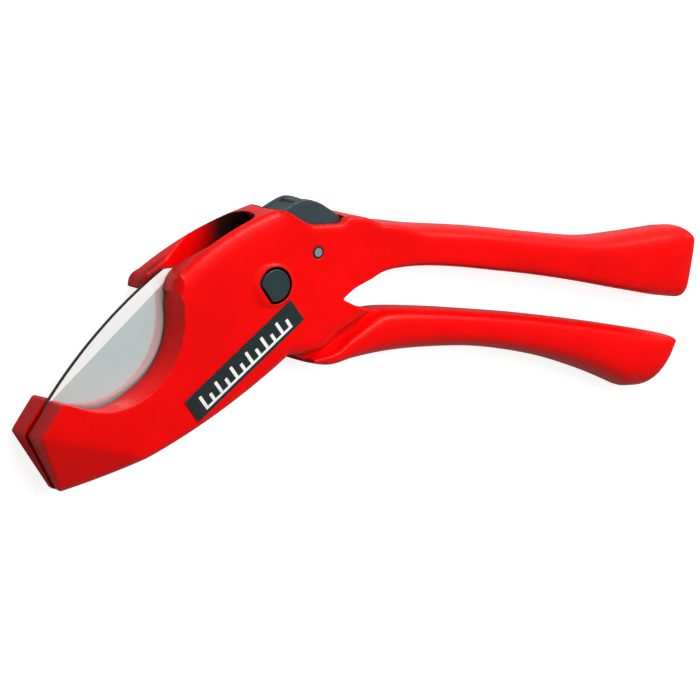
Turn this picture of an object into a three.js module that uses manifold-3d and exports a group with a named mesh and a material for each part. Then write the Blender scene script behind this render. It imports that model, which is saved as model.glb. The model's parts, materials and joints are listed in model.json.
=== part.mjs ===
// One-hand ratchet shear for plastic pipe.
// Two cast cheeks hold a hooked jaw, a swinging knife blade and a squeezed lower handle.
// The drawing frame has the main pivot axis at x = y = 0 and the blade's mid plane at z = 0.
// At the end the whole tool is set down on its far cheek, with the origin under its middle.
import * as THREE from 'three';
import { mergeVertices } from 'three/addons/utils/BufferGeometryUtils.js';
import Module from 'manifold-3d';

const wasm = await Module();
wasm.setup();

// ---- Driving dimensions, in millimetres and degrees ----

// Head and cheeks
const headWidth = 18;            // face to face over both cheeks
const cheekWall = 3;             // cheek wall beside the mechanism
const partingGap = 0.1;          // between the two cheeks where they meet
const jawGap = 2.4;              // blade slot between the jaws
const cheekEdge = 0.4;           // broken outer edge of the cheeks
const mouthCentre = [-52.5, -7];
const mouthRadius = 23.4;
const lipReachNear = 1.2;        // how far each upper lip stands past the mouth arc
const lipReachFar = 7;
const beakFold = [-84, -32.5];   // a point on the line below which each beak face leans in
const beakFoldAngle = -16;
const beakLean = 22.5;
const bossRadius = 6.5;          // raised ring round the pivot head
const bossHeight = 0.6;

// Pivot
const boltRadius = 3;
const sleeveRadius = 5;
const headRadius = 4.9;
const headFlat = 3.75;           // from the axis to the flat of the D-shaped head
const headFlatAngle = 215;
const headThickness = 2.5;
const headProud = 0.1;           // above the boss
const headSlack = 0.4;
const nutAcross = 10;            // across flats
const nutThickness = 1.6;
const washerThickness = 0.4;
const nutPocketDepth = 2.1;
const thrustWasherRadius = 9;
const thrustWasherThickness = 0.3;

// Clearances
const runningGap = 0.08;         // radial, between a pin and what turns on it
const sideGap = 0.4;             // beside a moving piece
const seatGap = 0.05;            // between faces that rest on each other
const toothGap = 0.3;            // between an engaged pawl's nose and the tooth roots
const noseLag = 1.8;             // degrees between a tooth's face and an engaged pawl's nose
const pinRecess = 0.2;           // from a pin's end to the face round it
const pinCover = 1.5;            // cheek wall left over each end of the stop pin
const beyond = 30;               // past every face, for cuts that go right through

// Blade
const bladeThickness = 1.8;
const edgeCentre = [-56.5, -1];
const edgeRadius = 33;
const toothPitch = 13;
const toothTip = 11.9;
const toothRoot = 10.4;
const firstTooth = -77;
const toothCount = 16;
const toothUndercut = 0.6;       // degrees that each working face leans
const neckAngle = -125;
const shoulderAngle = 138;
const spineStart = [-31, 6.2];
const spineEnd = [-67.6, -27.4];
const spineSag = 2.2;
const bladeTip = [-69.4, -30.6];

// Pawls
const pawlThickness = 2;
const pawlPinRadius = 1.4;
const pinRimDepth = 1;           // of the wider rim round the lever pin's near end
const drivePivot = [6.9, -15.5];
const driveToothAngle = -38;
const driveTravel = 10;
const leverPivot = [14.4, 8.1];
const holdToothAngle = 66;
const leverTravel = 8.5;
const pawlNose = 2.8;            // height of a pawl's nose above its inner corner

// Release lever
const leverFlange = 1.5;
const leverHubRadius = 3.1;
const crossPin = [17, 14];
const crossPinRadius = 1.2;

// Handles
const handleWidth = 17.8;
const gripEdge = 0.6;            // broken edge of the grips
const earRadius = 12;
const forkGap = 3;
const forkDepth = 20.5;
const pawlEarRadius = 4;
const stopPin = [18, -2.4];
const stopPinRadius = 1.5;

// Springs
const springWire = 0.8;
const springRadius = 8;
const springPocketInner = 3.2;
const springPocketRadius = 9.6;
const springCoreWall = 0.82;      // left between the sleeve's bore and each spring pocket
const springTurns = 1.25;
const springPitch = 0.95;
const leverSpringWire = 0.6;
const leverSpringRadius = 3.9;
const leverSpringTurns = 2.5;
const leverSpringPitch = 0.75;

// Fasteners
const screwPlaces = [[-60.5, -39.5], [-34, -36.5], [-15, -26.5], [29.5, 8]];
const screwRadius = 1.5;
const screwHeadRadius = 2.5;
const screwHeadHeight = 2.2;
const screwSocket = 1.25;
const screwSocketDepth = 1.3;
const screwHeadSlack = 0.35;
const screwEnd = 5.5;            // how far each screw reaches into the near cheek
const spacerRadius = 4.2;

// Label
const labelSize = [43.2, 7.5, 0.28];
const labelCentre = [-10.05, -20.3];
const labelAngle = 36.5;

// Values that follow from the ones above
const faceHeight = headWidth / 2;
const cavityHalf = faceHeight - cheekWall;
const earHalf = cavityHalf - sideGap;
const bladeHalf = bladeThickness / 2;
const pawlHalf = pawlThickness / 2;
const forkHalf = forkGap / 2;
const washerRadius = (nutAcross + headSlack) / 2;
const springPocketCore = sleeveRadius + runningGap + springCoreWall;

// ---- Small geometry helpers ----

const radians = THREE.MathUtils.degToRad;
const polar = (radius, degrees) => [
  radius * Math.cos(radians(degrees)), radius * Math.sin(radians(degrees)),
];
const shifted = (point, by) => [point[0] + by[0], point[1] + by[1]];

// A point turned about a pivot.
function swing(point, pivot, degrees) {
  const turned = new THREE.Vector2(...point).rotateAround(new THREE.Vector2(...pivot), radians(degrees));
  return [turned.x, turned.y];
}

// Points on a circle from one angle to another.
function arcPoints(centre, radius, from, to, steps) {
  return Array.from({ length: steps + 1 }, (_, i) => {
    const angle = from + (to - from) * i / steps;
    return shifted(centre, polar(radius, angle));
  });
}

// Points on the arc from start to end that bulges by sag to the right of the way along.
function sagPoints(start, end, sag, steps) {
  const chord = Math.hypot(end[0] - start[0], end[1] - start[1]);
  const out = [(end[1] - start[1]) / chord, (start[0] - end[0]) / chord];
  return Array.from({ length: steps + 1 }, (_, i) => {
    const t = i / steps;
    const bulge = 4 * sag * t * (1 - t);
    return [
      start[0] + (end[0] - start[0]) * t + out[0] * bulge,
      start[1] + (end[1] - start[1]) * t + out[1] * bulge,
    ];
  });
}

// A smooth line through a few points.
function smoothPoints(points, steps) {
  const spline = new THREE.SplineCurve(points.map((p) => new THREE.Vector2(...p)));
  return spline.getPoints(steps).map((p) => [p.x, p.y]);
}

// A closed outline through corners [x, y, reach]; a corner with a reach is rounded that far along its sides.
function outline(corners) {
  const shape = new THREE.Shape();
  corners.forEach(([x, y, reach = 0], i) => {
    const toward = (other) => {
      const side = new THREE.Vector2(other[0] - x, other[1] - y);
      return side.setLength(Math.min(reach, side.length() / 2)).add(new THREE.Vector2(x, y));
    };
    const start = toward(corners.at(i - 1));
    const end = toward(corners[(i + 1) % corners.length]);
    if (i === 0) shape.moveTo(start.x, start.y);
    else shape.lineTo(start.x, start.y);
    if (reach > 0) shape.quadraticCurveTo(x, y, end.x, end.y);
  });
  return shape;
}

// A closed mesh as a solid that can be joined and cut.
function solid(geometry) {
  geometry.deleteAttribute('normal');
  geometry.deleteAttribute('uv');
  const welded = mergeVertices(geometry, 1e-4);
  return new wasm.Manifold(new wasm.Mesh({
    numProp: 3,
    vertProperties: new Float32Array(welded.attributes.position.array),
    triVerts: new Uint32Array(welded.index.array),
  }));
}

// An outline standing between two heights; edge breaks both rims by that much.
function prism(shape, low, high, edge = 0) {
  const geometry = new THREE.ExtrudeGeometry(shape, {
    depth: high - low - 2 * edge,
    curveSegments: 3,
    bevelEnabled: edge > 0,
    bevelSize: edge,
    bevelThickness: edge,
    bevelOffset: -edge,
    bevelSegments: 1,
  });
  geometry.translate(0, 0, low + edge);
  return solid(geometry);
}

// A round bar along the pivot direction; six sides make a hexagon with its corners on the radius.
function bar(centre, radius, low, high, sides = 24) {
  const geometry = new THREE.CylinderGeometry(radius, radius, high - low, sides);
  geometry.rotateX(Math.PI / 2);
  geometry.translate(centre[0], centre[1], (low + high) / 2);
  return solid(geometry);
}

// A ring along the pivot direction.
const ring = (centre, outer, inner, low, high, sides = 40) => bar(centre, outer, low, high, sides)
  .subtract(bar(centre, inner, low - 1, high + 1, sides));

// The same solid on the other side of the blade's mid plane.
const mirrored = (body) => body.mirror([0, 0, 1]);

const joined = (bodies) => bodies.reduce((whole, body) => whole.add(body));
const cutBy = (body, tools) => tools.reduce((rest, tool) => rest.subtract(tool), body);

// ---- Materials ----

const finishes = {
  redCoat: { color: 0xd3151a, roughness: 0.45, metalness: 0.1 },
  steel: { color: 0xc9cccd, roughness: 0.22, metalness: 1 },
  darkSteel: { color: 0x6d7174, roughness: 0.4, metalness: 0.9 },
  slatePlastic: { color: 0x2c3336, roughness: 0.55, metalness: 0 },
  label: { color: 0x16191b, roughness: 0.5, metalness: 0 },
};

const tool = new THREE.Group();

// Adds a solid to the tool as a named mesh.
function piece(name, body, finish) {
  const { vertProperties, triVerts } = body.getMesh();
  const geometry = new THREE.BufferGeometry();
  geometry.setAttribute('position', new THREE.BufferAttribute(vertProperties, 3));
  geometry.setIndex(new THREE.BufferAttribute(triVerts, 1));
  geometry.computeVertexNormals();
  const mesh = new THREE.Mesh(geometry, new THREE.MeshStandardMaterial(finishes[finish]));
  mesh.name = name;
  tool.add(mesh);
}

// ---- Cheek outlines ----

const noseTop = [-67.4, -26.7];
const noseLeft = [-74.3, -36];
const noseBottom = [-65.5, -52.5];
const rearBottom = [5, -20.4];
const rearCorner = [16.4, -20.4];
const lobeCorner = [32.4, -10.8];
const gapRoot = [22.6, -6];
const seamLow = [32, -1];
const seamMiddle = [34.6, 8.6];
const seamTop = [36.4, 14.3];
const slotTopEnd = [3.2, 21.3];
const topSag = 2;
const bottomSag = 3.6;
const mouthStart = 254;          // where the mouth arc leaves the beak's shelf
const mouthEnd = 378;

// Top of a cheek from behind the release lever to the front of its cut-out.
const leverCutOut = [
  [30.6, 16.9, 2], [24.8, 17.5, 1.5], [22.6, 15.4, 1.5], [12.6, 15.8, 2], [9.4, 17.2, 2], [...slotTopEnd, 2],
];

// Lip over the mouth: the mouth arc's end, pushed out over the mouth by reach.
function lipCorners(reach) {
  const root = shifted(mouthCentre, polar(mouthRadius, mouthEnd));
  const under = shifted(root, [-reach, 0.3]);
  const over = shifted(under, [0.9, 4.2]);
  return [[...over, 1.2], [...under, 1]];
}

// The front and underside, from the rear lobe round the bottom and the nose to the mouth.
const jawUnderside = [
  [...noseTop, 1.2], [...noseLeft, 0.8], [...noseBottom, 1.5],
  ...sagPoints(noseBottom, rearBottom, bottomSag, 10).slice(1),
];
const rearLobe = [[...rearCorner, 3.5], [21.6, -15.6, 1.5], [...lobeCorner, 2.2], [...gapRoot, 1]];
const mouthArc = arcPoints(mouthCentre, mouthRadius, mouthEnd, mouthStart, 20);

// A whole cheek: jaw underside, rear lobe, the given rear end, then the top, the lip and the mouth.
function cheekOutline(rearEnd, lipReach) {
  const lip = lipCorners(lipReach);
  const top = sagPoints(slotTopEnd, lip[0], topSag, 8).slice(1, -1);
  return outline([...jawUnderside, ...rearLobe, ...rearEnd, ...leverCutOut, ...top, ...lip, ...mouthArc]);
}

const nearRear = [[26.6, -3.2, 1.5], seamLow, seamMiddle, [...seamTop, 1]];
const farRear = [[26.6, -3.2, 1.5], seamLow, [44, 1.6], [44, 12.4], [...seamTop, 1]];

// ---- The fixed upper handle ----

const upperTop = [
  [36.6, 14.4], [51, 12.6], [72, 10.1], [93.5, 6.7], [112, 4.1], [126, 4.2], [142, 5],
];
const upperEnd = [[150.4, 4.6, 6], [145.8, -16.8, 3]];
const upperUnder = [
  [135.8, -15.2], [120.9, -11.8], [106, -8.3], [91.6, -5.3], [77.3, -2.8], [63.3, -0.5], [52.8, 0.7],
  [43, 1.2], [37, 0.7], [32.4, -1],
];
const upperGrip = outline([
  ...smoothPoints(upperUnder, 16).reverse(), ...upperEnd.toReversed(),
  ...smoothPoints(upperTop, 12).reverse(), seamMiddle,
]);

// ---- Hollows between the cheeks ----

// Room for the mechanism, open at the top for the blade and the lever, and at the rear bottom for the handle.
const cavityOutline = outline([
  [-24, 40], [-24, 8, 3], [-17, -2, 3], [-12, -10, 3], [-6.4, -13.8, 1], [-14, -40], [45, -40], [45, -8.5],
  [30, -8.5], [20.6, -4.6, 2], [20.4, 2, 2], [25, 9, 2], [25.4, 40],
]);
// The web that stays between the blade's slot and the lever's opening.
const webOutline = outline([[-3, 26], [-2.6, 19.4, 0.5], [0.6, 15.6, 0.5], [1.6, 15.6, 0.5], [1.9, 26]]);
const jawSlotOutline = outline([[-90, -70], [-8, -70], [-8, 40], [-90, 40]]);

const cavity = prism(cavityOutline, -cavityHalf, cavityHalf)
  .subtract(prism(webOutline, -cavityHalf, cavityHalf));
const jawScrews = screwPlaces.slice(0, 3);
const jawSlot = cutBy(
  prism(jawSlotOutline, -jawGap / 2, jawGap / 2),
  jawScrews.map((place) => bar(place, spacerRadius, -beyond, beyond)),
);

// A block over one face of the beak. Below the fold line its inner face leans in.
function beakTaper() {
  const length = 60;
  const drop = 16;
  const rise = 8;
  const geometry = new THREE.ExtrudeGeometry(
    outline([[0, 0], [-drop, -drop * Math.tan(radians(beakLean))], [-drop, rise], [0, rise]]),
    { depth: length, bevelEnabled: false },
  );
  const [alongX, alongY] = polar(1, beakFoldAngle);
  geometry.applyMatrix4(new THREE.Matrix4().makeBasis(
    new THREE.Vector3(-alongY, alongX, 0), new THREE.Vector3(0, 0, 1), new THREE.Vector3(alongX, alongY, 0),
  ));
  geometry.translate(...beakFold, faceHeight);
  return solid(geometry);
}

// D-shaped outline of the pivot head, grown all round by slack.
function headOutline(slack) {
  const half = THREE.MathUtils.radToDeg(Math.acos((headFlat + slack) / (headRadius + slack)));
  return outline(arcPoints([0, 0], headRadius + slack, headFlatAngle + half, headFlatAngle + 360 - half, 36));
}

// ---- Cheeks and frame ----

const bossTop = faceHeight + bossHeight;
const headBottom = bossTop + headProud - headThickness;
const leverPinHole = bar(leverPivot, pawlPinRadius + seatGap, -beyond, beyond);
const leverPinRim = bar(leverPivot, pawlPinRadius + headSlack, faceHeight - pinRimDepth, beyond);
const stopHoleHalf = faceHeight - pinCover + seatGap;
const stopPinHole = bar(stopPin, stopPinRadius + seatGap, -stopHoleHalf, stopHoleHalf);
const boltHole = bar([0, 0], boltRadius + seatGap, -beyond, beyond);
const screwHoles = screwPlaces.map((place) => bar(
  place, screwRadius + seatGap, -beyond, screwEnd + screwHeadSlack, 16,
));
const farSide = prism(outline([[-99, -99], [199, -99], [199, 99], [-99, 99]]), -beyond, -partingGap / 2);
const nearSide = mirrored(farSide);

const nearPlate = prism(cheekOutline(nearRear, lipReachNear), -faceHeight, faceHeight, cheekEdge)
  .intersect(nearSide)
  .add(bar([0, 0], bossRadius, faceHeight - 1, bossTop, 48));
const nearCheek = cutBy(nearPlate, [
  cavity, jawSlot, boltHole, leverPinHole, leverPinRim, stopPinHole, ...screwHoles, beakTaper(),
  prism(headOutline(headSlack), headBottom - seatGap, beyond),
]);
piece('near_cheek', nearCheek, 'redCoat');

const upperHandle = prism(upperGrip, -handleWidth / 2, handleWidth / 2, gripEdge)
  .subtract(prism(cheekOutline(nearRear, lipReachNear), -partingGap / 2, beyond).add(
    mirrored(prism(outline([[30, -9], [35.1, 7], [37, 18], [20, 18], [20, -9]]), -beyond, partingGap / 2)),
  ));
const farPlate = prism(cheekOutline(farRear, lipReachFar), -faceHeight, faceHeight, cheekEdge)
  .intersect(farSide);
const nutPocket = bar([0, 0], nutAcross / Math.sqrt(3) + headSlack, -beyond, nutPocketDepth - faceHeight, 6);
const screwPockets = screwPlaces.map((place) => bar(
  place, screwHeadRadius + screwHeadSlack, -beyond, screwHeadHeight + screwHeadSlack - faceHeight, 24,
));
const farFrame = cutBy(farPlate.add(upperHandle), [
  cavity, jawSlot, boltHole, leverPinHole, stopPinHole, nutPocket, ...screwHoles, ...screwPockets,
  mirrored(beakTaper()),
]);
piece('far_frame', farFrame, 'redCoat');

// ---- Main pivot ----

const mainBolt = prism(headOutline(0), headBottom, bossTop + headProud)
  .add(bar([0, 0], boltRadius, pinRecess - faceHeight, headBottom + 1, 40));
piece('main_pivot_bolt', mainBolt, 'darkSteel');

const washerLow = -faceHeight + nutPocketDepth - seatGap - washerThickness;
const washerHigh = washerLow + washerThickness;
piece('pivot_washer', ring([0, 0], washerRadius, boltRadius + seatGap, washerLow, washerHigh), 'steel');
const nutHigh = washerLow - seatGap;
const pivotNut = bar([0, 0], nutAcross / Math.sqrt(3), nutHigh - nutThickness, nutHigh, 6)
  .subtract(bar([0, 0], boltRadius + seatGap, -beyond, beyond, 40));
piece('pivot_nut', pivotNut, 'steel');
const sleeveHalf = cavityHalf - seatGap;
piece('pivot_sleeve', ring([0, 0], sleeveRadius, boltRadius + runningGap, -sleeveHalf, sleeveHalf), 'steel');
for (const [side, sign] of [['near', 1], ['far', -1]]) {
  const inner = earHalf + seatGap;
  const outer = inner + thrustWasherThickness;
  const washer = ring([0, 0], thrustWasherRadius, sleeveRadius + runningGap, inner, outer);
  piece(`${side}_thrust_washer`, sign > 0 ? washer : mirrored(washer), 'steel');
}

// ---- Pins and screws in the frame ----

const leverPinHalf = faceHeight - pinRecess;
const stopPinHalf = faceHeight - pinCover;
piece('lever_pin', bar(leverPivot, pawlPinRadius, -leverPinHalf, leverPinHalf), 'darkSteel');
piece('handle_stop_pin', bar(stopPin, stopPinRadius, -stopPinHalf, stopPinHalf), 'steel');
screwPlaces.forEach((place, i) => {
  const headLow = pinRecess - faceHeight;
  const screw = bar(place, screwHeadRadius, headLow, headLow + screwHeadHeight, 24)
    .add(bar(place, screwRadius, headLow + screwHeadHeight / 2, screwEnd, 16))
    .subtract(bar(place, screwSocket, -beyond, headLow + screwSocketDepth, 6));
  piece(`cover_screw_${i + 1}`, screw, 'darkSteel');
});

// ---- Blade ----

// Saw-tooth rim: each tooth has its working face on its low side and slopes back to the root.
function toothRim() {
  return Array.from({ length: toothCount }, (_, i) => {
    const face = firstTooth + i * toothPitch;
    return [polar(toothRoot, face - toothUndercut), polar(toothTip, face)];
  }).flat();
}

const bladeOutline = outline([
  ...sagPoints(spineEnd, spineStart, -spineSag, 10).reverse(), [...bladeTip, 1],
  ...arcPoints(edgeCentre, edgeRadius, 248, 332, 18),
  ...arcPoints([0, 0], toothRoot, neckAngle, firstTooth - 8, 4),
  ...toothRim(),
  polar(toothRoot, shoulderAngle - 8), polar(toothRoot, shoulderAngle),
]);
const blade = prism(bladeOutline, -bladeHalf, bladeHalf)
  .subtract(bar([0, 0], sleeveRadius + runningGap, -beyond, beyond, 40));
piece('blade', blade, 'steel');

// ---- Lower handle ----

const lowerTop = [
  [37, -10.9], [43, -10.9], [60, -12.8], [74, -14.8], [88.5, -17], [103, -19.6], [117.8, -22.5],
  [132.7, -25.7],
];
const lowerEnd = [[143.4, -28.2, 2.5], [139, -38.2, 4], [133.6, -42.6, 6]];
const lowerUnder = [
  [126, -42.4], [113.8, -36.7], [99.1, -31.3], [84.7, -27.4], [70.4, -24.7], [56.4, -23.5], [42.6, -23.2],
  [28.9, -24], [19.8, -25.1], [12.8, -23.9],
];
const lowerShoulder = [[13, -21.9, 0.8], [19.6, -20.8, 2], [24.9, -17.6, 1], [36, -11.4, 1]];
const lowerGrip = outline([
  ...lowerShoulder, ...smoothPoints(lowerTop, 14), ...lowerEnd, ...smoothPoints(lowerUnder, 18),
]);
const tongue = outline([
  [11.9, -1.4], [9, 7], [-2, -10], [3.4, -17.6], [5.4, -19.4, 1], [13, -22.9], [21, -24.4], [42, -22],
  [42, -12], [36.5, -11], [25.5, -8.2, 1],
].toReversed());

const fork = joined([
  prism(tongue, -earHalf, earHalf),
  bar([0, 0], earRadius, -earHalf, earHalf, 48),
  bar(drivePivot, pawlEarRadius, -earHalf, earHalf),
]);
const forkSlot = bar([0, 0], forkDepth, -forkHalf, forkHalf, 48);
const springPocket = ring([0, 0], springPocketRadius, springPocketCore, springPocketInner, beyond, 48);
const lowerHandle = cutBy(fork.add(prism(lowerGrip, -handleWidth / 2, handleWidth / 2, gripEdge)), [
  forkSlot, springPocket, mirrored(springPocket),
  bar([0, 0], sleeveRadius + runningGap, -beyond, beyond, 40),
  bar(drivePivot, pawlPinRadius + seatGap, -beyond, beyond),
]);
piece('lower_handle', lowerHandle, 'redCoat');
piece('pawl_pin', bar(drivePivot, pawlPinRadius, pinRecess - earHalf, earHalf - pinRecess), 'steel');

// ---- Pawls ----

// Nose of a pawl where it bears on the tooth face at an angle, turned back to its lifted rest by travel.
function pawlNosePoints(faceAngle, pivot, travel) {
  const inner = toothRoot + toothGap;
  return [
    polar(inner + pawlNose, faceAngle - noseLag + toothUndercut),
    polar(inner, faceAngle - noseLag - toothUndercut),
    polar(inner + 1, faceAngle - 8.5), polar(inner + 1.7, faceAngle - 15),
  ].map((point) => swing(point, pivot, -travel));
}

const driveNose = pawlNosePoints(driveToothAngle, drivePivot, driveTravel);
const drivePawl = prism(outline([
  ...driveNose, shifted(drivePivot, [-2.5, 0.6]), shifted(drivePivot, [2.5, -0.4]),
  [...shifted(drivePivot, [3.6, 4.6]), 1],
]), -pawlHalf, pawlHalf)
  .add(bar(drivePivot, 2.7, -pawlHalf, pawlHalf))
  .subtract(bar(drivePivot, pawlPinRadius + runningGap, -beyond, beyond));
piece('drive_pawl', drivePawl, 'steel');

const holdNose = pawlNosePoints(holdToothAngle, leverPivot, leverTravel);
const holdingPawl = cutBy(prism(outline([
  ...holdNose, shifted(leverPivot, [-2.9, -0.6]), shifted(leverPivot, [2.9, -0.4]),
  [...shifted(crossPin, [2, 0.4]), 1], [...shifted(crossPin, [-1, 2.1]), 1],
  [...shifted(crossPin, [-2.3, -0.4]), 1],
]), -pawlHalf, pawlHalf).add(bar(leverPivot, 3, -pawlHalf, pawlHalf)), [
  bar(leverPivot, pawlPinRadius + runningGap, -beyond, beyond),
  bar(crossPin, crossPinRadius + seatGap, -beyond, beyond, 24),
]);
piece('holding_pawl', holdingPawl, 'steel');

// ---- Release lever ----

const leverTop = [[4.7, 20.2], [9.9, 22.5], [13, 22.8], [17, 21.6], [20.4, 19.6], [23.2, 17.7]];
const flangeOutline = outline([
  [24, 16.2, 0.8], ...smoothPoints(leverTop, 12).reverse(), [4.5, 18.4, 0.6], [8, 15.4, 2],
  [10.8, 11.5, 1.5], [11.3, 6.8, 1], [14.4, 5, 1.5], [17.6, 7, 1.5], [20, 11.4, 2], [22.8, 14.6, 0.8],
]);
const bridgeOutline = outline([
  [12.2, 22.6], [12.2, 20.9, 0.5], [16.2, 19.7, 1], [19.6, 17.8, 1], [22.2, 16, 0.5], [23.4, 17.3, 0.5],
  [20.4, 19.4], [17, 21.4],
]);
const flange = prism(flangeOutline, earHalf - leverFlange, earHalf, 0.4);
const leverHub = bar(leverPivot, leverHubRadius, pawlHalf + pinRecess, earHalf - pinRecess);
const releaseLever = cutBy(joined([
  flange, mirrored(flange), leverHub, mirrored(leverHub),
  prism(bridgeOutline, -earHalf + leverFlange / 2, earHalf - leverFlange / 2),
]), [
  bar(leverPivot, pawlPinRadius + runningGap, -beyond, beyond),
  bar(crossPin, crossPinRadius + seatGap, -beyond, beyond, 24),
]);
piece('release_lever', releaseLever, 'slatePlastic');
const crossPinHalf = earHalf - pinRecess;
piece('lever_cross_pin', bar(crossPin, crossPinRadius, -crossPinHalf, crossPinHalf, 24), 'steel');

// ---- Springs ----

class Helix extends THREE.Curve {
  constructor(centre, radius, low, pitch, turns) {
    super();
    Object.assign(this, { centre, radius, low, pitch, turns });
  }

  getPoint(t, target = new THREE.Vector3()) {
    const [x, y] = shifted(this.centre, polar(this.radius, 360 * this.turns * t));
    return target.set(x, y, this.low + this.pitch * this.turns * t);
  }
}

// A coil of round wire standing along the pivot direction.
function coil(centre, radius, wire, low, pitch, turns) {
  const section = outline(arcPoints([0, 0], wire / 2, 0, 300, 5));
  return solid(new THREE.ExtrudeGeometry(section, {
    steps: Math.ceil(turns * 14),
    bevelEnabled: false,
    extrudePath: new Helix(centre, radius, low, pitch, turns),
  }));
}

const springLow = springPocketInner + springWire / 2 + 0.1;
const handleSpring = coil([0, 0], springRadius, springWire, springLow, springPitch, springTurns);
piece('handle_spring', handleSpring, 'steel');
piece('blade_spring', mirrored(handleSpring), 'steel');
piece('lever_spring', coil(
  leverPivot, leverSpringRadius, leverSpringWire, pawlHalf + 0.6, leverSpringPitch, leverSpringTurns,
), 'steel');
const springFoot = polar(forkDepth - 0.6, -44);
const springEnd = polar(forkDepth - 5.6, -37);
const pawlSpring = outline([
  ...sagPoints(springFoot, springEnd, 1.2, 6), ...sagPoints(springEnd, springFoot, -0.7, 6).slice(1, -1),
]);
piece('pawl_spring', prism(pawlSpring, -pawlHalf, pawlHalf), 'steel');

// ---- Label ----

const label = prism(outline([
  [-labelSize[0] / 2, -labelSize[1] / 2, 0.4], [labelSize[0] / 2, -labelSize[1] / 2, 0.4],
  [labelSize[0] / 2, labelSize[1] / 2, 0.4], [-labelSize[0] / 2, labelSize[1] / 2, 0.4],
]), faceHeight + seatGap / 2, faceHeight + labelSize[2])
  .rotate([0, 0, labelAngle])
  .translate([...labelCentre, 0]);
piece('label_plate', label, 'label');

// ---- Set down on the far cheek, with the origin under the middle ----

const extent = new THREE.Box3().setFromObject(tool);
const middle = extent.getCenter(new THREE.Vector3());
tool.position.set(-middle.x, -middle.y, -extent.min.z);

export default tool;
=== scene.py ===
# Looks of a one-hand ratchet shear for plastic pipe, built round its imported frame.
# Shapes are worked out in millimetres from the main pivot: x along the handles, y up from the
# lower handle to the upper one, z from the far cheek to the near one. place() turns them into metres.
import json
import math

import bpy
import numpy as np
from mathutils import Matrix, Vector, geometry


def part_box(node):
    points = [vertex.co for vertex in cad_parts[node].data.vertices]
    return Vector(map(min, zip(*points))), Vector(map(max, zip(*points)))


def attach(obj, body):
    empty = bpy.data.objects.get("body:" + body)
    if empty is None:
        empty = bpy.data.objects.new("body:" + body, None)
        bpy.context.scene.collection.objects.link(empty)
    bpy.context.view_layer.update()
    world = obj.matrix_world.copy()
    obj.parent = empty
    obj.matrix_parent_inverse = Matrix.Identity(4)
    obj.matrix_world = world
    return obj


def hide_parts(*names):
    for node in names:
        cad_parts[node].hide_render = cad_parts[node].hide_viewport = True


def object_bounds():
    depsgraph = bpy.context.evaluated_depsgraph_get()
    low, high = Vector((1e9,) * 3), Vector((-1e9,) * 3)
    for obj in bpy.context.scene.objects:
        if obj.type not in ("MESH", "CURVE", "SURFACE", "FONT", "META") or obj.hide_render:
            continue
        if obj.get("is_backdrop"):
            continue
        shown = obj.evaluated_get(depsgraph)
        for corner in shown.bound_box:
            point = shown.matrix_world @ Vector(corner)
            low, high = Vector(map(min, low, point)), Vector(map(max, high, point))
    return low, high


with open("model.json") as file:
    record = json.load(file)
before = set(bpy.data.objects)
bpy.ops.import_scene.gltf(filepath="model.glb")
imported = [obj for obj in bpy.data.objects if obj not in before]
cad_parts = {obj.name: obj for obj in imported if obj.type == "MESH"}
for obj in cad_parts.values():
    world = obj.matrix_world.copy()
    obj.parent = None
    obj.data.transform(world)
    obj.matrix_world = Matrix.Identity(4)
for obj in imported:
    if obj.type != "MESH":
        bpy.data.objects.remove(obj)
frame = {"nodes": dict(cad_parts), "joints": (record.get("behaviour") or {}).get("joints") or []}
cadBox = [list(corner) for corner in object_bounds()]
pivot = np.array(next(j for j in frame["joints"] if j["name"] == "blade_hinge")["pos_m"])
print("frame loaded:", len(frame["nodes"]), "nodes")


# millimetres from the pivot -> metres in the row frame
def place(points):
    return np.asarray(points, float) * 0.001 + pivot


# unit vectors along the rows of an array
def unit(v):
    return v / np.maximum(np.linalg.norm(v, axis=-1, keepdims=True), 1e-9)


# closed line with each corner (x, y, reach) replaced by the curve (1-t)^2 start + 2t(1-t) corner + t^2 end,
# whose start and end lie a reach away along the corner's two sides
def roundedLine(corners, steps=7):
    corner = np.array([c[:2] for c in corners], float)
    reach = np.array([c[2] if len(c) > 2 else 0 for c in corners])[:, None]
    ends = []
    for turn in (1, -1):
        side = np.roll(corner, turn, 0) - corner
        half = np.linalg.norm(side, axis=1, keepdims=True) / 2
        ends.append(corner + unit(side) * np.minimum(reach, half))
    t = np.linspace(0, 1, steps)[None, :, None]
    curve = (1 - t) ** 2 * ends[0][:, None] + 2 * t * (1 - t) * corner[:, None] + t ** 2 * ends[1][:, None]
    line = curve.reshape(-1, 2)
    return line[np.linalg.norm(line - np.roll(line, 1, 0), axis=1) > 1e-4]


# the same closed line with points added, so that no side is longer than step
def densified(line, step):
    side = np.roll(line, -1, 0) - line
    count = np.maximum(1, np.ceil(np.linalg.norm(side, axis=1) / step).astype(int))
    which = np.repeat(np.arange(len(line)), count)
    share = (np.arange(len(which)) - np.repeat(np.cumsum(count) - count, count)) / count[which]
    return line[which] + side[which] * share[:, None]


# points on an arc: centre + radius (cos, sin) of evenly spaced angles in degrees
def arc(centre, radius, start, end, count):
    angle = np.radians(np.linspace(start, end, count))
    return np.array(centre) + radius * np.stack([np.cos(angle), np.sin(angle)], 1)


# round line for a bore or a disc
def circle(centre, radius, count=36):
    return arc(centre, radius, 0, 350, count)


# points from start to end, pushed out to the right of the way along by 4 sag t (1-t)
def bowed(start, end, sag, count):
    start, end = np.array(start, float), np.array(end, float)
    t = np.linspace(0, 1, count)[:, None]
    along = unit(end - start)
    return start + (end - start) * t + np.array([along[1], -along[0]]) * 4 * sag * t * (1 - t)


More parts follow.
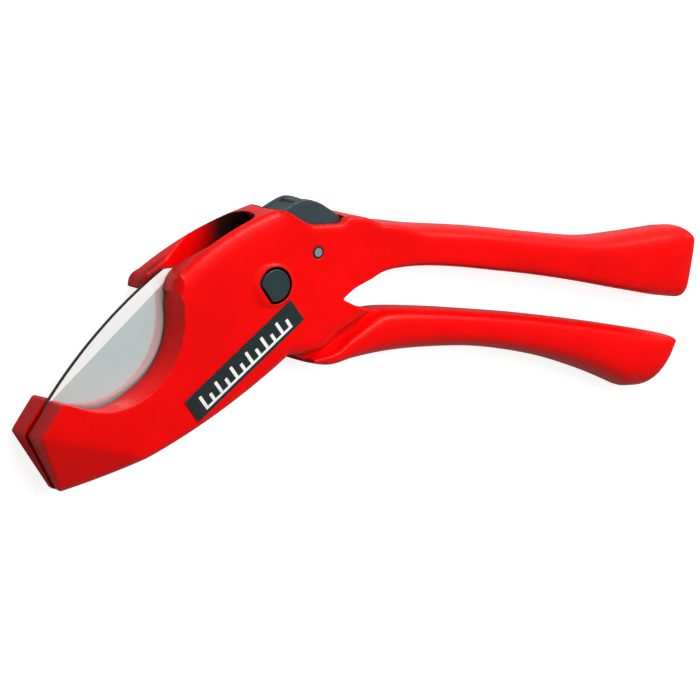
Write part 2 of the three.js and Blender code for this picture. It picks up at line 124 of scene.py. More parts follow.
# Catmull-Rom curve through the points, read at evenly spaced parameters
def smoothLine(points, count):
    p = np.array(points, float)
    t = np.linspace(0, len(p) - 1, count)
    i = np.minimum(t.astype(int), len(p) - 2)
    w = (t - i)[:, None]
    q = np.vstack([p[:1], p, p[-1:]])
    a, b, c, d = q[i], q[i + 1], q[i + 2], q[i + 3]
    return b + 0.5 * w * (c - a + w * (2 * a - 5 * b + 4 * c - d + w * (3 * (b - c) + d - a)))


# shortest distance from each point to a line: to each side's nearest point, then the least
def lineDistance(points, line, closed=False):
    a, b = line, np.roll(line, -1, 0)
    if not closed:
        a, b = a[:-1], b[:-1]
    side = b - a
    length2 = np.maximum((side ** 2).sum(1), 1e-12)
    found = []
    for part in np.array_split(points, len(points) // 2000 + 1):
        off = part[:, None] - a
        t = np.clip((off * side).sum(2) / length2, 0, 1)
        found.append(np.sqrt(((off - t[..., None] * side) ** 2).sum(2).min(1)))
    return np.concatenate(found)


# whether each point lies in a closed line, by the number of sides crossed on the way to the right
def inside(points, line):
    a, b = line, np.roll(line, -1, 0)
    found = []
    for part in np.array_split(points, len(points) // 2000 + 1):
        x, y = part[:, :1], part[:, 1:]
        spans = (a[:, 1] > y) != (b[:, 1] > y)
        with np.errstate(divide="ignore", invalid="ignore"):
            cross = (b[:, 0] - a[:, 0]) * (y - a[:, 1]) / (b[:, 1] - a[:, 1]) + a[:, 0]
        found.append((spans & (x < cross)).sum(1) % 2 == 1)
    return np.concatenate(found)


# distance to a closed line, positive inside it
def depthIn(points, line):
    return lineDistance(points, line, True) * np.where(inside(points, line), 1, -1)


# 0 below low, 1 above high, and 3t^2 - 2t^3 between
def ease(value, low, high):
    t = np.clip((value - low) / (high - low), 0, 1)
    return t * t * (3 - 2 * t)


# drop of a rounded rim: a quarter of an ellipse, drop high at the line and width wide
def rimDrop(distance, width, drop):
    u = np.clip(1 - distance / width, 0, 1)
    return drop * (1 - np.sqrt(1 - u ** 2))


farFromRims = 9.0                    # rim distance, in mm, of a surface without worn edges


# an object from vertices in millimetres and faces, with its rim distance kept for the edge wear
# a share given for its points darkens its paint as painted shade
def makeObject(name, vertices, faces, rim=None, sharpAngle=35, bareAndShade=None):
    mesh = bpy.data.meshes.new(name)
    mesh.from_pydata(place(vertices), [], faces)
    if rim is not None:
        mesh.attributes.new("rim", "FLOAT", "POINT").data.foreach_set("value", rim.astype(np.float32))
    if bareAndShade is not None:
        mesh.attributes.new("bareAndShade", "FLOAT", "POINT").data.foreach_set("value", bareAndShade.astype(np.float32))
    mesh.validate()
    mesh.update()
    mesh.shade_smooth()
    mesh.set_sharp_from_angle(angle=math.radians(sharpAngle))
    piece = bpy.data.objects.new(name, mesh)
    bpy.context.scene.collection.objects.link(piece)
    return piece


# points and triangles that fill closed lines: rows at given distances inside every line, an even
# grid of staggered rows further in, and extra marks, all joined by a Delaunay net held to the lines
def filledPlan(lines, rows, pitch, marks=None, step=0.7):
    loops = []
    for number, line in enumerate(lines):
        line = densified(line, step)
        area = (line[:, 0] * np.roll(line[:, 1], -1) - line[:, 1] * np.roll(line[:, 0], -1)).sum()
        loops.append(line if (area > 0) == (number == 0) else line[::-1])
    edge = np.vstack(loops)
    inward = np.vstack([unit(np.roll(l, -1, 0) - np.roll(l, 1, 0)) for l in loops])
    inward = np.stack([-inward[:, 1], inward[:, 0]], 1)

    def depth(points):
        away = np.min([lineDistance(points, l, True) for l in loops], 0)
        kept = inside(points, loops[0])
        for hole in loops[1:]:
            kept &= ~inside(points, hole)
        return np.where(kept, away, -away)

    added = []
    for number, row in enumerate(rows):
        ring = (edge + inward * row)[:: 1 + (number > len(rows) // 2)]
        added.append(ring[depth(ring) > row * 0.96])
    low, high = edge.min(0), edge.max(0)
    x, y = np.meshgrid(np.arange(low[0], high[0], pitch), np.arange(low[1], high[1], pitch * 0.866))
    x = x + pitch / 2 * (np.arange(len(x)) % 2)[:, None]
    grid = np.stack([x.ravel(), y.ravel()], 1)
    grid = grid[depth(grid) > (rows[-1] if len(rows) else 0) + pitch * 0.5]
    if marks is not None:
        marks = marks[depth(marks) > 0.3]
        grid = grid[np.linalg.norm(grid[:, None] - marks[None], axis=2).min(1) > pitch * 0.45]
        added.append(marks)
    added.append(grid)
    inner = np.vstack(added)
    points = np.vstack([edge, inner])
    start = np.cumsum([0] + [len(l) for l in loops])
    follow = np.concatenate([np.roll(np.arange(len(l)), -1) + s for l, s in zip(loops, start)])
    sides = np.stack([np.arange(len(edge)), follow], 1)
    made = geometry.delaunay_2d_cdt(points.tolist(), sides.tolist(), [], 2, 1e-7)
    source = np.array([o[0] for o in made[3]])
    triangles = source[np.array(made[2])]
    return points, triangles, sides


# a flat-sided body: one filled plan carried at two heights, which are functions of place and rim
# distance, with a wall round every line; shift moves the lower points sideways, and a given share darkens
# them as painted shade
def plate(name, lines, top, low, rows=(0.12, 0.35, 0.8), pitch=2, marks=None, shift=None, step=0.7,
          sharpAngle=35, bareAndShade=None):
    points, triangles, sides = filledPlan(lines, rows, pitch, marks, step)
    rim = np.min([lineDistance(points, l, True) for l in lines], 0)
    upper = np.column_stack([points, top(points, rim)])
    under = points if shift is None else points + shift(points, rim)
    lower = np.column_stack([under, low(points, rim)])
    n, m = len(points), len(sides)
    belt = (upper[:m] + lower[:m]) / 2
    beltRim = (upper[:m, 2] - lower[:m, 2]) / 2
    ends = sides[:, ::-1]
    walls = [np.column_stack([ends + 2 * n, sides]), np.column_stack([ends + n, sides + 2 * n])]
    faces = [*triangles.tolist(), *(triangles[:, ::-1] + n).tolist(), *np.vstack(walls).tolist()]
    rims = np.concatenate([rim, rim, np.maximum(beltRim, 0.05)])
    inner = np.zeros(2 * n + m)
    if bareAndShade is not None:
        inner[n:2 * n] = bareAndShade(points, rim)
    return makeObject(name, np.vstack([upper, lower, belt]), faces, rims, sharpAngle, inner)


# turns a piece made for the near side over to the far side of the blade's middle plane
def turnedOver(piece):
    count = len(piece.data.vertices)
    co = np.empty(count * 3)
    piece.data.vertices.foreach_get("co", co)
    co = co.reshape(-1, 3)
    co[:, 2] = 2 * pivot[2] - co[:, 2]
    piece.data.vertices.foreach_set("co", co.ravel())
    piece.data.flip_normals()
    return piece


# faces of a grid of sections with a given number of points round each, closed at both ends
def tubeFaces(count, around):
    i, j = np.meshgrid(np.arange(count - 1), np.arange(around), indexing="ij")
    k = (j + 1) % around
    quads = np.stack([i * around + j, i * around + k, (i + 1) * around + k, (i + 1) * around + j], -1)
    ends = [list(range(around))[::-1], list(range((count - 1) * around, count * around))]
    return [*quads.reshape(-1, 4).tolist(), *ends]


# a flat body between two heights
def slab(name, lines, heights, step=0.7, pitch=2):
    low, high = heights
    return plate(name, lines, lambda p, rim: high + 0 * rim, lambda p, rim: low + 0 * rim, rows=(),
                 pitch=pitch, step=step)


# a bar whose section at each station is a superellipse |v|^(2/n) between an under line and a top
# line, reaching width to either side, closed by a flat face at each end
def barBetween(name, stations, under, top, width, roundTop, roundUnder, around=72):
    turn = np.linspace(0, 2 * np.pi, around, endpoint=False)
    s, c = np.sin(turn), np.cos(turn)
    full = np.where(s[None] >= 0, roundTop[:, None], roundUnder[:, None])
    v = np.sign(s) * np.abs(s) ** (2 / full)
    z = np.sign(c) * np.abs(c) ** (2 / full) * width[:, None]
    middle, half = (top + under) / 2, (top - under) / 2
    xy = middle[:, None] + half[:, None] * v[..., None]
    grid = np.concatenate([xy, z[..., None]], 2)
    faces = tubeFaces(len(stations), around)
    return makeObject(name, grid.reshape(-1, 3), faces, np.full(len(stations) * around, farFromRims))


# joins pieces into the first of them
def joined(name, pieces):
    bpy.ops.object.select_all(action="DESELECT")
    for piece in pieces:
        piece.select_set(True)
    bpy.context.view_layer.objects.active = pieces[0]
    bpy.ops.object.join()
    pieces[0].name = pieces[0].data.name = name
    return pieces[0]


# joins an output to an input of the same node tree
def link(source, socket):
    source.id_data.links.new(source, socket)


# a node group with float inputs and the named outputs
def newGroup(name, inputs, outputs):
    group = bpy.data.node_groups.new(name, "ShaderNodeTree")
    for label, value in inputs.items():
        socket = group.interface.new_socket(label, in_out="INPUT", socket_type="NodeSocketFloat")
        socket.default_value = value
    for label, kind in outputs.items():
        group.interface.new_socket(label, in_out="OUTPUT", socket_type=kind)
    return group, group.nodes.new("NodeGroupInput"), group.nodes.new("NodeGroupOutput")


# a new node with its settings, each a property of the node or the value of an input
def node(tree, kind, **settings):
    made = tree.nodes.new(kind)
    for label, value in settings.items():
        if hasattr(made, label):
            setattr(made, label, value)
        else:
            made.inputs[label.replace("_", " ")].default_value = value
    return made


# output of a two-input math node; each input is a number or another node's output
def math2(tree, operation, a, b):
    made = tree.nodes.new("ShaderNodeMath")
    made.operation = operation
    for socket, value in zip(made.inputs, (a, b)):
        if isinstance(value, (int, float)):
            socket.default_value = value
        else:
            link(value, socket)
    return made.outputs[0]


# sprayed or moulded skin: a fine and a coarse noise added into a normal, with the fine one and a
# slow cloud as masks
def buildGrain():
    group, given, out = newGroup("skinGrain", {"Scale": 1.0, "Depth": 0.1},
                                 {"Normal": "NodeSocketVector", "Speckle": "NodeSocketFloat",
                                  "Cloud": "NodeSocketFloat"})
    coords = node(group, "ShaderNodeTexCoord")
    scaled = group.nodes.new("ShaderNodeVectorMath")
    scaled.operation = "SCALE"
    link(coords.outputs["Object"], scaled.inputs[0])
    link(given.outputs["Scale"], scaled.inputs["Scale"])
    fine = node(group, "ShaderNodeTexNoise", Scale=2600.0, Detail=2.0, Roughness=0.6)
    coarse = node(group, "ShaderNodeTexNoise", Scale=700.0, Detail=1.0, Roughness=0.5)
    cloud = node(group, "ShaderNodeTexNoise", Scale=45.0, Detail=3.0, Roughness=0.6)
    for noise in (fine, coarse, cloud):
        link(scaled.outputs[0], noise.inputs["Vector"])
    height = math2(group, "ADD", fine.outputs[0], math2(group, "MULTIPLY", coarse.outputs[0], 0.8))
    bump = node(group, "ShaderNodeBump", Distance=0.00012)
    link(given.outputs["Depth"], bump.inputs["Strength"])
    link(height, bump.inputs["Height"])
    link(bump.outputs[0], out.inputs["Normal"])
    link(fine.outputs[0], out.inputs["Speckle"])
    link(cloud.outputs[0], out.inputs["Cloud"])
    return group


# worn rims: 1 at an edge falling to 0 a width away, broken up by a noise and scaled by amount
def buildWear():
    group, given, out = newGroup("rimWear", {"Width": 0.3, "Amount": 0.5}, {"Mask": "NodeSocketFloat"})
    rim = node(group, "ShaderNodeAttribute", attribute_name="rim")
    coords = node(group, "ShaderNodeTexCoord")
    noise = node(group, "ShaderNodeTexNoise", Scale=420.0, Detail=3.0, Roughness=0.7)
    link(coords.outputs["Object"], noise.inputs["Vector"])
    near = math2(group, "SUBTRACT", 1.0, math2(group, "DIVIDE", rim.outputs["Fac"], given.outputs["Width"]))
    broken = math2(group, "MULTIPLY", math2(group, "SUBTRACT", noise.outputs[0], 0.5), 7.0)
    mask = math2(group, "MULTIPLY", math2(group, "MAXIMUM", near, 0.0), math2(group, "MAXIMUM", broken, 0.0))
    link(math2(group, "MINIMUM", math2(group, "MULTIPLY", mask, given.outputs["Amount"]), 1.0),
         out.inputs["Mask"])
    return group


# lines left by a grinding belt: a noise stretched along one direction, as a normal and a value
def buildBrush():
    group, given, out = newGroup("grindLines", {"Angle": 0.0, "Depth": 0.1},
                                 {"Normal": "NodeSocketVector", "Streak": "NodeSocketFloat"})
    coords = node(group, "ShaderNodeTexCoord")
    turned = group.nodes.new("ShaderNodeVectorRotate")
    turned.rotation_type = "Z_AXIS"
    link(coords.outputs["Object"], turned.inputs["Vector"])
    link(given.outputs["Angle"], turned.inputs["Angle"])
    stretched = group.nodes.new("ShaderNodeVectorMath")
    stretched.operation = "MULTIPLY"
    stretched.inputs[1].default_value = (60.0, 6000.0, 900.0)
    link(turned.outputs[0], stretched.inputs[0])
    noise = node(group, "ShaderNodeTexNoise", Scale=1.0, Detail=3.0, Roughness=0.6)
    link(stretched.outputs[0], noise.inputs["Vector"])
    bump = node(group, "ShaderNodeBump", Distance=0.00006)
    link(given.outputs["Depth"], bump.inputs["Strength"])
    link(noise.outputs[0], bump.inputs["Height"])
    link(bump.outputs[0], out.inputs["Normal"])
    link(noise.outputs[0], out.inputs["Streak"])
    return group


grainGroup, wearGroup, brushGroup = buildGrain(), buildWear(), buildBrush()


# a material with its Principled shader and a function that places a group with given values
def newMaterial(name, **values):
    material = bpy.data.materials.new(name)
    material.use_nodes = True
    tree = material.node_tree
    shader = tree.nodes["Principled BSDF"]
    for label, value in values.items():
        shader.inputs[label.replace("_", " ")].default_value = value

    def use(group, **inputs):
        made = tree.nodes.new("ShaderNodeGroup")
        made.node_tree = group
        for label, value in inputs.items():
            made.inputs[label].default_value = value
        return made.outputs
    return material, tree, shader, use


# colours mixed by a mask; either may be a colour or another node's output
def mixed(tree, mask, a, b):
    mix = tree.nodes.new("ShaderNodeMix")
    mix.data_type = "RGBA"
    link(mask, mix.inputs[0])
    for socket, value in ((mix.inputs[6], a), (mix.inputs[7], b)):
        if isinstance(value, tuple):
            socket.default_value = (*value, 1)
        else:
            link(value, socket)
    return mix.outputs[2]


# a value moved from the range start..end to low..high
def ranged(tree, value, low, high, start=0.0, end=1.0):
    made = node(tree, "ShaderNodeMapRange", From_Min=start, From_Max=end, To_Min=low, To_Max=high)
    link(value, made.inputs[0])
    return made.outputs[0]


# inside is the colour of the painted shade in the hollows; the other dark mix is the worn-rim colour
coat = {"colour": (0.86, 0.0, 0.0), "shade": (0.7, 0.0, 0.0), "bareAndShade": (0.45, 0.1, 0.08),
        "inside": (0.012, 0.003, 0.003), "grain": 0.5, "rough": (0.27, 0.44),
        "gloss": 0.2, "wear": 0.22, "wearWidth": 0.2}


# red paint with a cloudy colour, a speckled shine, worn rims and painted shade darkening its hollows
def buildCoat():
    material, tree, shader, use = newMaterial("redPowderCoat", Specular_IOR_Level=coat["gloss"])
    grain = use(grainGroup, Scale=1.0, Depth=coat["grain"])
    worn = use(wearGroup, Width=coat["wearWidth"], Amount=coat["wear"])[0]
    cloud = ranged(tree, grain["Cloud"], 0.0, 1.0, 0.35, 0.75)
    paint = mixed(tree, cloud, coat["colour"], coat["shade"])
    # painted shade: the stored share mixes the paint towards the dark of the hollows
    inner = node(tree, "ShaderNodeAttribute", attribute_name="bareAndShade")
    painted = mixed(tree, worn, paint, coat["bareAndShade"])
    link(mixed(tree, inner.outputs["Fac"], painted, coat["inside"]), shader.inputs["Base Color"])
    link(ranged(tree, grain["Speckle"], *coat["rough"], 0.3, 0.7), shader.inputs["Roughness"])
    link(grain["Normal"], shader.inputs["Normal"])
    return material


metals = {
    "bladeGround": {"colour": (0.84, 0.93, 0.92), "tint": (0.68, 0.82, 0.8), "rough": (0.06, 0.11),
                    "angle": 0.72, "brush": 0.03, "metal": 0.65},
    # the facet's near-white, barely metallic colour is a painted reflection: the bright band a mirror shows
    "bladeFacetPaintedShine": {"colour": (0.95, 0.96, 0.96), "tint": (0.86, 0.9, 0.89), "rough": (0.08, 0.14),
                   "angle": 0.72, "brush": 0.03, "metal": 0.2},
    "brightPlate": {"colour": (0.66, 0.67, 0.66), "tint": (0.5, 0.5, 0.48), "rough": (0.22, 0.38),
                    "angle": 0.3},
    "blackedSteel": {"colour": (0.045, 0.08, 0.088), "tint": (0.025, 0.05, 0.056), "rough": (0.3, 0.44),
                     "angle": 1.1, "metal": 0.7},
    "greySteel": {"colour": (0.3, 0.37, 0.4), "tint": (0.22, 0.28, 0.31), "rough": (0.3, 0.44), "angle": 0.4,
                  "metal": 0.5},
    "springWire": {"colour": (0.42, 0.42, 0.41), "tint": (0.28, 0.28, 0.27), "rough": (0.25, 0.4),
                   "angle": 0.0},
}


# metal whose colour and roughness follow the grinding lines
def buildMetal(name):
    metal = metals[name]
    material, tree, shader, use = newMaterial(name, Metallic=metal.get("metal", 1.0))
    brush = use(brushGroup, Angle=metal["angle"], Depth=metal.get("brush", 0.1))
    grain = use(grainGroup, Scale=0.5, Depth=0.05)
    mask = ranged(tree, math2(tree, "MULTIPLY", brush["Streak"], grain["Cloud"]), 0.0, 1.0, 0.15, 0.4)
    link(mixed(tree, mask, metal["colour"], metal["tint"]), shader.inputs["Base Color"])
    link(ranged(tree, brush["Streak"], *metal["rough"], 0.3, 0.7), shader.inputs["Roughness"])
    link(brush["Normal"], shader.inputs["Normal"])
    return material


plastics = {
    "slatePlastic": {"colour": (0.032, 0.055, 0.062), "tint": (0.02, 0.036, 0.042), "rough": (0.32, 0.5),
                     "bareAndShade": (0.12, 0.15, 0.16), "grain": 0.35},
    "labelFilm": {"colour": (0.012, 0.02, 0.022), "tint": (0.007, 0.012, 0.014), "rough": (0.28, 0.4),
                  "bareAndShade": (0.2, 0.2, 0.2), "grain": 0.1},
    "blackEdge": {"colour": (0.012, 0.018, 0.018), "tint": (0.007, 0.011, 0.011), "rough": (0.45, 0.6),
                  "bareAndShade": (0.02, 0.028, 0.028), "grain": 0.15},
    "shadeBlack": {"colour": (0.004, 0.004, 0.005), "tint": (0.002, 0.002, 0.002), "rough": (0.6, 0.8),
                   "bareAndShade": (0.01, 0.01, 0.01), "grain": 0.2},
    "labelInk": {"colour": (0.86, 0.87, 0.87), "tint": (0.8, 0.81, 0.8), "rough": (0.4, 0.5),
                 "bareAndShade": (0.5, 0.5, 0.5), "grain": 0.08},
}


# plastic, or the black of painted shade, with a cloudy colour, a moulded grain and paler rims
def buildPlastic(name):
    plastic = plastics[name]
    material, tree, shader, use = newMaterial(name, Specular_IOR_Level=0.4)
    grain = use(grainGroup, Scale=0.8, Depth=plastic["grain"])
    worn = use(wearGroup, Width=0.2, Amount=0.25)[0]
    body = mixed(tree, ranged(tree, grain["Cloud"], 0.0, 1.0, 0.3, 0.7), plastic["colour"], plastic["tint"])
    link(mixed(tree, worn, body, plastic["bareAndShade"]), shader.inputs["Base Color"])
    link(ranged(tree, grain["Speckle"], *plastic["rough"], 0.3, 0.7), shader.inputs["Roughness"])
    link(grain["Normal"], shader.inputs["Normal"])
    return material


finishes = {"redPowderCoat": buildCoat()}
finishes.update({name: buildMetal(name) for name in metals})
finishes.update({name: buildPlastic(name) for name in plastics})
print("finishes ready:", len(finishes))


# gives a piece its finish and sets it on its body, hiding the frame nodes it replaces
def finished(piece, finish, body, slot, *nodes):
    piece.data.materials.clear()
    piece.data.materials.append(finishes[finish])
    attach(piece, body)
    if nodes:
        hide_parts(*nodes)
    return piece


cheek = {
    "face": 9.0,                       # from the blade's middle plane to a cheek's face
    "wall": 3.0,
    "parting": 0.06,
    "slotHalf": 1.2,
    "nose": [(-67.4, -26.7, 1.2), (-74.3, -36, 0.8), (-65.5, -52.5, 1.5)],
    "bottomEnd": (5, -20.4), "bottomSag": 3.6,
    "lobe": [(16.4, -20.4, 3.5), (21.6, -15.6, 1.5), (32.4, -10.8, 2.2), (22.6, -6, 1)],
    "rear": [(26.6, -3.2, 1.5), (32, -1), (34.6, 8.6), (36.4, 14.3, 1)],
    "leverCut": [(30.6, 16.9, 2), (24.8, 17.5, 1.5), (22.6, 15.4, 1.5), (12.6, 15.8, 2), (9.4, 17.2, 2)],
    "topStart": (3.2, 21.3), "topSag": 2,
    "mouthCentre": (-52.5, -7), "mouthRadius": 23.4, "mouthFrom": 378, "mouthTo": 254,
    "mouthDraft": 2.1,                 # how far the mouth's wall leans in by its inner edge
    "mouthInner": 1.7,                 # height of that inner edge
    "lipNear": 1.2, "lipFar": 7, "lipRise": (0.9, 4.2), "lipCorners": (5.5, 1.2),
    "softRim": (5.8, 2.8), "plainRim": (2.2, 1.5), "crispRim": (0.4, 0.25), "noseRim": (0.8, 0.5),
    "crispTo": (28, 32), "groove": (0.35, 0.22), "cavityRamp": 0.24, "rampFrom": (12, 20),
    "jawFrom": (7.9, 8.1), "draftFrom": (-100, -55), "draftTo": (8, 24), "draftFade": 5,
    "lobeRim": (3.0, 1.9), "cutRim": (2.2, 1.2), "lipRim": (3.4, 4.4), "slotRamp": 9.0, "slotEnd": 4.5,
    # where the painted shade inside the cavity begins, and how strong the painted shade under the lip is
    "shadeFrom": (-19, -8), "innerRim": (1.6, 1.6), "lipShade": 0.6,
    "fold": (-84, -32.5), "foldAngle": -16, "foldLean": 22.5, "foldBlend": 0.5,
    "bossRadius": 5.5, "bossHeight": 0.6, "bossSlope": 1.0,
    "bossTail": 1.5,                   # how much further the ring's slope runs on the left
    "headRadius": 4.9, "headFlat": 3.75, "headFlatAngle": 215, "headSlack": 0.4,
    "pin": (14.4, 8.1), "pinHole": 1.8,
    "screws": [(-60.5, -39.5), (-34, -36.5), (-15, -26.5), (29.5, 8)], "screwHole": 2.8,
    "nutAcross": 10.0, "nutSlack": 0.4,
}
cavityLine = roundedLine([(-24, 40), (-24, 8, 3), (-17, -2, 3), (-12, -10, 3), (-6.4, -13.8, 1), (-14, -60),
                          (45, -60), (45, -8.5), (30, -8.5), (20.6, -4.6, 2), (20.4, 2, 2), (25, 9, 2),
                          (25.4, 40)])
webLine = roundedLine([(-3, 40), (-2.6, 19.4, 0.5), (0.6, 15.6, 0.5), (1.6, 15.6, 0.5), (1.9, 40)])
mouthLine = arc(cheek["mouthCentre"], cheek["mouthRadius"], cheek["mouthFrom"], cheek["mouthTo"], 90)


# D-shaped line: a circle cut by a flat, grown all round by slack
def headLine(slack):
    radius, flat = cheek["headRadius"] + slack, cheek["headFlat"] + slack
    half = math.degrees(math.acos(flat / radius))
    turn = cheek["headFlatAngle"]
    return arc((0, 0), radius, turn + half, turn + 360 - half, 60)


# the lip's end, from its upper to its lower corner, pushed over the mouth by reach
def cheekLipEnd(reach):
    under = mouthLine[0] + (-reach, 0.3)
    return np.array([under + cheek["lipRise"], under])


# the whole outline of a cheek whose upper lip reaches over the mouth
def cheekLine(reach):
    over, under = cheekLipEnd(reach)
    bottom = bowed(cheek["nose"][-1][:2], cheek["bottomEnd"], cheek["bottomSag"], 30)[1:]
    top = bowed(cheek["topStart"], over, cheek["topSag"], 24)[1:-1]
    lip = [(*corner, size) for corner, size in zip((over, under), cheek["lipCorners"])]
    corners = [*cheek["nose"], *bottom.tolist(), *cheek["lobe"], *cheek["rear"], *cheek["leverCut"],
               (*cheek["topStart"], 4), *top[2:-3].tolist(), *lip, *mouthLine.tolist()]
    return roundedLine(corners), top


# how far a point is below the fold line across the beak
def belowFold(points):
    turn = math.radians(cheek["foldAngle"])
    return (np.array(cheek["fold"]) - points) @ np.array([-math.sin(turn), math.cos(turn)])


# a cheek's outline and the functions that give its outer and inner heights, its lower points' shift
# and its share of painted shade; bossed is 1 for the near cheek
def cheekHeights(reach, bossed):
    line, top = cheekLine(reach)
    bottom = bowed(cheek["nose"][-1][:2], cheek["bottomEnd"], cheek["bottomSag"], 40)
    edges = {"softRim": top, "plainRim": bottom, "noseRim": np.array([c[:2] for c in cheek["nose"]]),
             "lobeRim": roundedLine([cheek["bottomEnd"], *cheek["lobe"], (30, -12)])[:-12],
             "cutRim": roundedLine([cheek["rear"][-1], *cheek["leverCut"], cheek["topStart"],
                                    (20, 40)])[1:-10]}
    if bossed:
        edges["lipRim"] = cheekLipEnd(reach)

    # the flat face less its deepest rim drop and the beak's lean, plus the ring round the pivot head
    def face(points, rim):
        drop = rimDrop(rim, *cheek["crispRim"]) * (1 - ease(points[:, 0], *cheek["crispTo"]))
        for key, edge in edges.items():
            drop = np.maximum(drop, rimDrop(lineDistance(points, edge), *cheek[key]))
        blend = cheek["foldBlend"]
        lean = np.log1p(np.exp(np.clip(belowFold(points) / blend, -30, 60))) * blend
        lean *= math.tan(math.radians(cheek["foldLean"]))
        away = np.hypot(*points.T)
        slope = cheek["bossSlope"] + cheek["bossTail"] * ease(-points[:, 0] / away, 0, 1)
        boss = 1 - ease((away - cheek["bossRadius"]) / slope, -0.1, 1)
        return cheek["face"] - drop - lean + cheek["bossHeight"] * boss * bossed

    # the wall over the mechanism, the jaw's slot beside the blade, and the parting elsewhere
    def hollow(points, rim):
        room, fromWeb = depthIn(points, cavityLine), -depthIn(points, webLine)
        ramp = cheek["cavityRamp"] + cheek["slotRamp"] * ease(-points[:, 0], *cheek["rampFrom"])
        opened = np.clip(room / ramp + 0.5, 0, 1)
        rounded = np.sqrt(1 - np.clip(1 - fromWeb / cheek["slotEnd"], 0, 1) ** 2)
        square = np.clip(fromWeb / cheek["cavityRamp"] + 0.5, 0, 1)
        opened *= np.where(points[:, 0] < -0.5, rounded, square)
        jaw = ease(-points[:, 0], *cheek["jawFrom"])
        base = cheek["parting"] + (cheek["slotHalf"] - cheek["parting"]) * jaw
        mouthRim = ease(-lineDistance(points, mouthLine), -1.4, 0) * (cheek["mouthInner"] - cheek["slotHalf"])
        groove = rimDrop(rim, *cheek["groove"]) * (1 - jaw)
        if not bossed:
            groove = np.maximum(groove, rimDrop(lineDistance(points, top), *cheek["innerRim"]) * jaw)
        height = base + mouthRim * jaw + groove
        return height + (cheek["face"] - cheek["wall"] - height) * opened

    # towards the mouth's middle, most at its rear part, fading out away from the rim
    def draft(points, rim):
        to = np.array(cheek["mouthCentre"]) - points
        turn = np.degrees(np.arctan2(-to[:, 1], -to[:, 0]))
        amount = cheek["mouthDraft"] * ease(turn, *cheek["draftFrom"]) * (1 - ease(turn, *cheek["draftTo"]))
        fade = 1 - ease(lineDistance(points, mouthLine), 0, cheek["draftFade"])
        return unit(to) * (amount * fade)[:, None]

    # painted shade, 1 where the inside is darkened for shade: round the mechanism, in part under the lip,
    # and beside the blade on the near cheek
    def bareAndShade(points, rim):
        inner = ease(depthIn(points, cavityLine), -1, 3) * ease(-depthIn(points, webLine), -0.2, 0.1)
        inner *= ease(points[:, 0], *cheek["shadeFrom"])
        lip = cheek["lipShade"] * ease(-points[:, 0], 27, 34) * (points[:, 1] > -12)
        beside = bossed * ease(rim, -0.2, 0.3) * ease(-points[:, 0], 8, 9)
        return np.maximum(inner, np.maximum(beside, lip))
    return line, face, hollow, draft, bareAndShade


# marks where the face turns quickly: rings round the pivot head and lines along the beak's fold
def cheekMarks():
    rings = [arc((0, 0), r, 0, 357, 90) for r in (6.3, 6.5, 6.75, 7.0, 7.3)]
    turn = math.radians(cheek["foldAngle"])
    along = np.array([math.cos(turn), math.sin(turn)])
    fold = np.array(cheek["fold"]) + along * np.arange(8, 48, 0.9)[:, None]
    folds = [fold + np.array([-along[1], along[0]]) * off for off in (-1.6, -0.8, 0, 0.8, 1.6)]
    return np.vstack([*rings, *folds])


# marks on both sides of the hollow's edges and of the step behind the jaw's slot
def hollowMarks():
    edges = []
    for line in (cavityLine, webLine):
        line = densified(line, 0.6)
        out = unit(np.roll(line, -1, 0) - np.roll(line, 1, 0))
        out = np.stack([-out[:, 1], out[:, 0]], 1)
        edges += [line + out * 0.13, line - out * 0.13]
    step = np.stack([np.full(60, -7.9), np.linspace(-40, 20, 60)], 1)
    return np.vstack([*edges, step, step - (0.2, 0)])


# a cheek made for the near side
def buildCheek(name, reach, holes, bossed):
    line, face, hollow, draft, bareAndShade = cheekHeights(reach, bossed)
    marks = np.vstack([cheekMarks(), hollowMarks()])
    return plate(name, [line, *holes], face, hollow, rows=(0.08, 0.22, 0.42, 0.8, 1.3, 1.9, 2.7, 3.7, 4.8),
                 pitch=1.9, marks=marks, shift=draft, sharpAngle=38, bareAndShade=bareAndShade)


nearHoles = [headLine(cheek["headSlack"]), circle(cheek["pin"], cheek["pinHole"])]
nearCheek = buildCheek("near_cheek_casting", cheek["lipNear"], nearHoles, 1)
finished(nearCheek, "redPowderCoat", "frame", "red_coat", "near_cheek")
nutCorner = cheek["nutAcross"] / math.sqrt(3) + cheek["nutSlack"]
farHoles = [arc((0, 0), nutCorner, 0, 300, 6), circle(cheek["pin"], 1.5),
            *[circle(screw, cheek["screwHole"]) for screw in cheek["screws"]]]
farCheek = turnedOver(buildCheek("far_cheek_casting", cheek["lipFar"], farHoles, 0))
finished(farCheek, "redPowderCoat", "frame", "red_coat", "far_frame")
print("cheeks:", len(nearCheek.data.polygons), len(farCheek.data.polygons), "faces")


